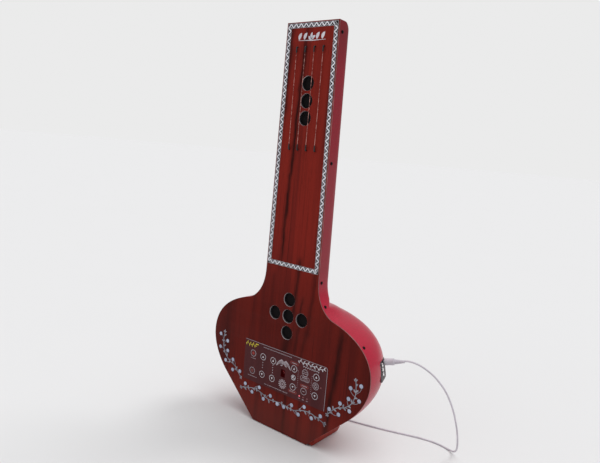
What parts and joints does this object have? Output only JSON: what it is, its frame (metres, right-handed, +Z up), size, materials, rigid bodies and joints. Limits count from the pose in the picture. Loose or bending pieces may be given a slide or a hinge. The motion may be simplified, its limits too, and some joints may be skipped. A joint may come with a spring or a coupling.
{
  "type": "electronic tanpura",
  "caption": "Standing electronic drone instrument: long flat neck with strings, gourd-shaped rear shell, sound holes, membrane keypad, wooden foot and a plugged-in power lead.",
  "frame": {"origin": "middle of the foot's underside, on the floor", "axes": "+Z up the neck, the front board faces -Y, +X to the right when it is seen from the front"},
  "size_m": [0.4776, 0.195, 0.7501],
  "materials": {
    "laminate_wood": "satin wood-grain laminate",
    "gloss_shell": "high-gloss crimson lacquer",
    "rubber": "matt",
    "plain_wood": "raw softwood",
    "black_screw": "blackened",
    "silver_print": "silver-grey print",
    "keypad_film": "smoked maroon film, satin",
    "black_plastic": "matt",
    "key_film": "maroon key caps with white print",
    "circuit_board": "solder mask",
    "steel_screw": "zinc plated",
    "display_window": "dark red filter",
    "led": "diffused",
    "string_wire": "drawn wire",
    "black_sleeve": "satin",
    "brass": "plain",
    "speaker_steel": "black",
    "speaker_cone": "pressed paper",
    "grille_cloth": "black speaker cloth",
    "aluminium": "extruded",
    "socket_plastic": "satin",
    "nickel": "nickel plated",
    "wire_insulation": "insulated wire",
    "lead_plastic": "pale grey flexible vinyl",
    "adaptor_plastic": "fine moulded texture"
  },
  "bodies": {
    "instrument": {"front_board": "laminate_wood", "rear_shell": "gloss_shell", "foot_block": "laminate_wood", "foot_pad": "rubber", "neck_battens": "plain_wood", "rim_blocks": "plain_wood", "shell_screws": "black_screw", "neck_border": "silver_print", "vine_decals": "silver_print", "keypad_overlay": "keypad_film", "keypad_frame": "black_plastic", "key_switches": "black_plastic", "keypad_circuit": "circuit_board", "keypad_screws": "steel_screw", "display_window": "display_window", "display_module": "black_plastic", "indicator_leds": "led", "strings": "string_wire", "string_sleeves": "black_sleeve", "string_lugs": "brass", "body_speaker_basket": "speaker_steel", "body_speaker_cone": "speaker_cone", "body_speaker_magnet": "speaker_steel", "neck_speaker_basket": "speaker_steel", "neck_speaker_cone": "speaker_cone", "neck_speaker_magnet": "speaker_steel", "body_cloth": "grille_cloth", "neck_cloth": "grille_cloth", "speaker_screws": "steel_screw", "main_circuit": "circuit_board", "circuit_standoffs": "brass", "heat_sink": "aluminium", "socket_plate": "socket_plastic", "audio_sockets": "nickel", "power_socket": "socket_plastic", "socket_circuit": "circuit_board", "inner_wiring": "wire_insulation", "lead_connector": "lead_plastic", "lead_relief": "lead_plastic", "lead_tube": "lead_plastic", "lead_coil": "lead_plastic", "coil_tie": "black_plastic", "lead_end": "lead_plastic", "wall_adaptor": "adaptor_plastic", "adaptor_pins": "nickel"},
    "key_power": {"key_power": "key_film"},
    "key_preset": {"key_preset": "key_film"},
    "key_tempo_up": {"key_tempo_up": "key_film"},
    "key_tempo_down": {"key_tempo_down": "key_film"},
    "key_volume_up": {"key_volume_up": "key_film"},
    "key_volume_down": {"key_volume_down": "key_film"},
    "key_pitch_up": {"key_pitch_up": "key_film"},
    "key_touch": {"key_touch": "key_film"},
    "key_pitch_down": {"key_pitch_down": "key_film"},
    "key_tuner": {"key_tuner": "key_film"},
    "key_store": {"key_store": "key_film"},
    "key_fine_up": {"key_fine_up": "key_film"},
    "key_fine_mode": {"key_fine_mode": "key_film"},
    "key_fine_down": {"key_fine_down": "key_film"}
  },
  "joints": [
    {"name": "key_power_press", "type": "slide", "parent": "instrument", "child": "key_power", "axis": [0, 1, 0], "range_m": [0, 0.0005], "stiffness_N_per_m": 400},
    {"name": "key_preset_press", "type": "slide", "parent": "instrument", "child": "key_preset", "axis": [0, 1, 0], "range_m": [0, 0.0005], "stiffness_N_per_m": 400},
    {"name": "key_tempo_up_press", "type": "slide", "parent": "instrument", "child": "key_tempo_up", "axis": [0, 1, 0], "range_m": [0, 0.0005], "stiffness_N_per_m": 400},
    {"name": "key_tempo_down_press", "type": "slide", "parent": "instrument", "child": "key_tempo_down", "axis": [0, 1, 0], "range_m": [0, 0.0005], "stiffness_N_per_m": 400},
    {"name": "key_volume_up_press", "type": "slide", "parent": "instrument", "child": "key_volume_up", "axis": [0, 1, 0], "range_m": [0, 0.0005], "stiffness_N_per_m": 400},
    {"name": "key_volume_down_press", "type": "slide", "parent": "instrument", "child": "key_volume_down", "axis": [0, 1, 0], "range_m": [0, 0.0005], "stiffness_N_per_m": 400},
    {"name": "key_pitch_up_press", "type": "slide", "parent": "instrument", "child": "key_pitch_up", "axis": [0, 1, 0], "range_m": [0, 0.0005], "stiffness_N_per_m": 400},
    {"name": "key_touch_press", "type": "slide", "parent": "instrument", "child": "key_touch", "axis": [0, 1, 0], "range_m": [0, 0.0005], "stiffness_N_per_m": 400},
    {"name": "key_pitch_down_press", "type": "slide", "parent": "instrument", "child": "key_pitch_down", "axis": [0, 1, 0], "range_m": [0, 0.0005], "stiffness_N_per_m": 400},
    {"name": "key_tuner_press", "type": "slide", "parent": "instrument", "child": "key_tuner", "axis": [0, 1, 0], "range_m": [0, 0.0005], "stiffness_N_per_m": 400},
    {"name": "key_store_press", "type": "slide", "parent": "instrument", "child": "key_store", "axis": [0, 1, 0], "range_m": [0, 0.0005], "stiffness_N_per_m": 400},
    {"name": "key_fine_up_press", "type": "slide", "parent": "instrument", "child": "key_fine_up", "axis": [0, 1, 0], "range_m": [0, 0.0005], "stiffness_N_per_m": 400},
    {"name": "key_fine_mode_press", "type": "slide", "parent": "instrument", "child": "key_fine_mode", "axis": [0, 1, 0], "range_m": [0, 0.0005], "stiffness_N_per_m": 400},
    {"name": "key_fine_down_press", "type": "slide", "parent": "instrument", "child": "key_fine_down", "axis": [0, 1, 0], "range_m": [0, 0.0005], "stiffness_N_per_m": 400}
  ]
}
